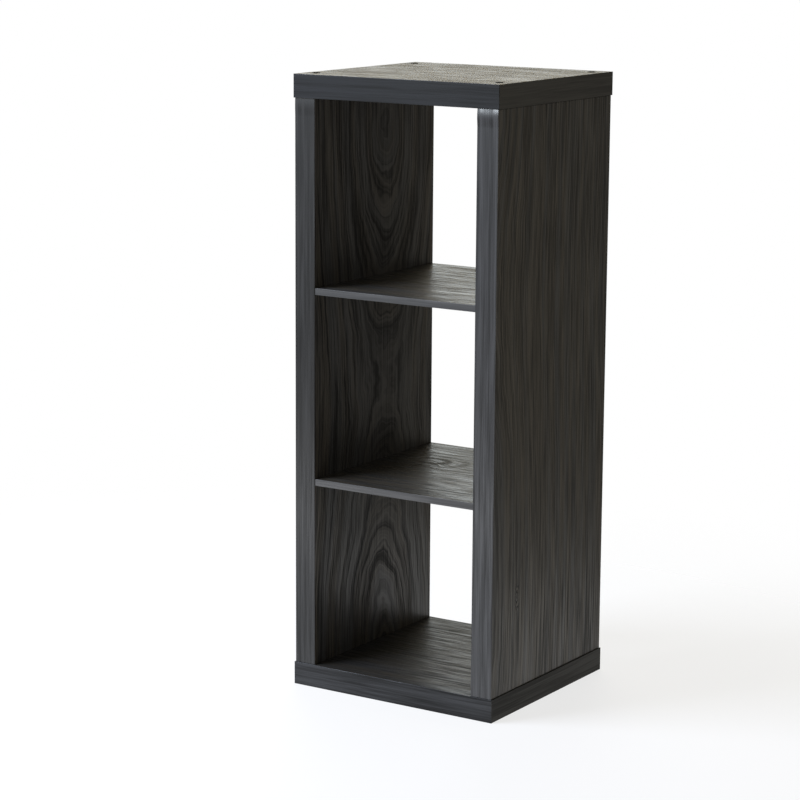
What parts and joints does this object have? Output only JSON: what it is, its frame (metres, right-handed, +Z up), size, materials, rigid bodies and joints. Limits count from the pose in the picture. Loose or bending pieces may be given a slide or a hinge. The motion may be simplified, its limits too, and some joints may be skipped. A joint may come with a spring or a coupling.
{
  "type": "cube storage unit",
  "caption": "Tall open cube storage unit: square compartments with no back, stacked between thick hollow-core side, top and bottom panels, with thin shelves and a dark woodgrain finish.",
  "frame": {"origin": "centre of the base, on the floor", "axes": "+Z up, -Y towards the front, +X towards the right as seen from the front"},
  "size_m": [0.417, 0.39, 1.1022],
  "materials": {
    "laminate": "satin",
    "edge_band": "satin",
    "frame_board": "matte",
    "honeycomb": "matte",
    "dowel_wood": "matte",
    "bolt_steel": "satin",
    "cap_plastic": "satin"
  },
  "bodies": {
    "root": {"bottom_bolt_back_left": "bolt_steel", "bottom_bolt_back_right": "bolt_steel", "bottom_bolt_front_left": "bolt_steel", "bottom_bolt_front_right": "bolt_steel", "bottom_dowel_left": "dowel_wood", "bottom_dowel_right": "dowel_wood", "bottom_panel_back_edge_band": "edge_band", "bottom_panel_core": "honeycomb", "bottom_panel_frame": "frame_board", "bottom_panel_front_edge_band": "edge_band", "bottom_panel_left_edge_band": "edge_band", "bottom_panel_lower_skin": "laminate", "bottom_panel_right_edge_band": "edge_band", "bottom_panel_upper_skin": "laminate", "left_side_back_edge_band": "edge_band", "left_side_core": "honeycomb", "left_side_frame": "frame_board", "left_side_front_edge_band": "edge_band", "left_side_inner_skin": "laminate", "left_side_outer_skin": "laminate", "lower_shelf_back_edge_band": "edge_band", "lower_shelf_board": "laminate", "lower_shelf_dowel_back_left": "dowel_wood", "lower_shelf_dowel_back_right": "dowel_wood", "lower_shelf_dowel_front_left": "dowel_wood", "lower_shelf_dowel_front_right": "dowel_wood", "lower_shelf_front_edge_band": "edge_band", "right_side_back_edge_band": "edge_band", "right_side_core": "honeycomb", "right_side_frame": "frame_board", "right_side_front_edge_band": "edge_band", "right_side_inner_skin": "laminate", "right_side_outer_skin": "laminate", "top_bolt_back_left": "bolt_steel", "top_bolt_back_right": "bolt_steel", "top_bolt_front_left": "bolt_steel", "top_bolt_front_right": "bolt_steel", "top_cap_back_left": "cap_plastic", "top_cap_back_right": "cap_plastic", "top_cap_front_left": "cap_plastic", "top_cap_front_right": "cap_plastic", "top_dowel_left": "dowel_wood", "top_dowel_right": "dowel_wood", "top_panel_back_edge_band": "edge_band", "top_panel_core": "honeycomb", "top_panel_frame": "frame_board", "top_panel_front_edge_band": "edge_band", "top_panel_left_edge_band": "edge_band", "top_panel_lower_skin": "laminate", "top_panel_right_edge_band": "edge_band", "top_panel_upper_skin": "laminate", "upper_shelf_back_edge_band": "edge_band", "upper_shelf_board": "laminate", "upper_shelf_dowel_back_left": "dowel_wood", "upper_shelf_dowel_back_right": "dowel_wood", "upper_shelf_dowel_front_left": "dowel_wood", "upper_shelf_dowel_front_right": "dowel_wood", "upper_shelf_front_edge_band": "edge_band"}
  },
  "joints": []
}
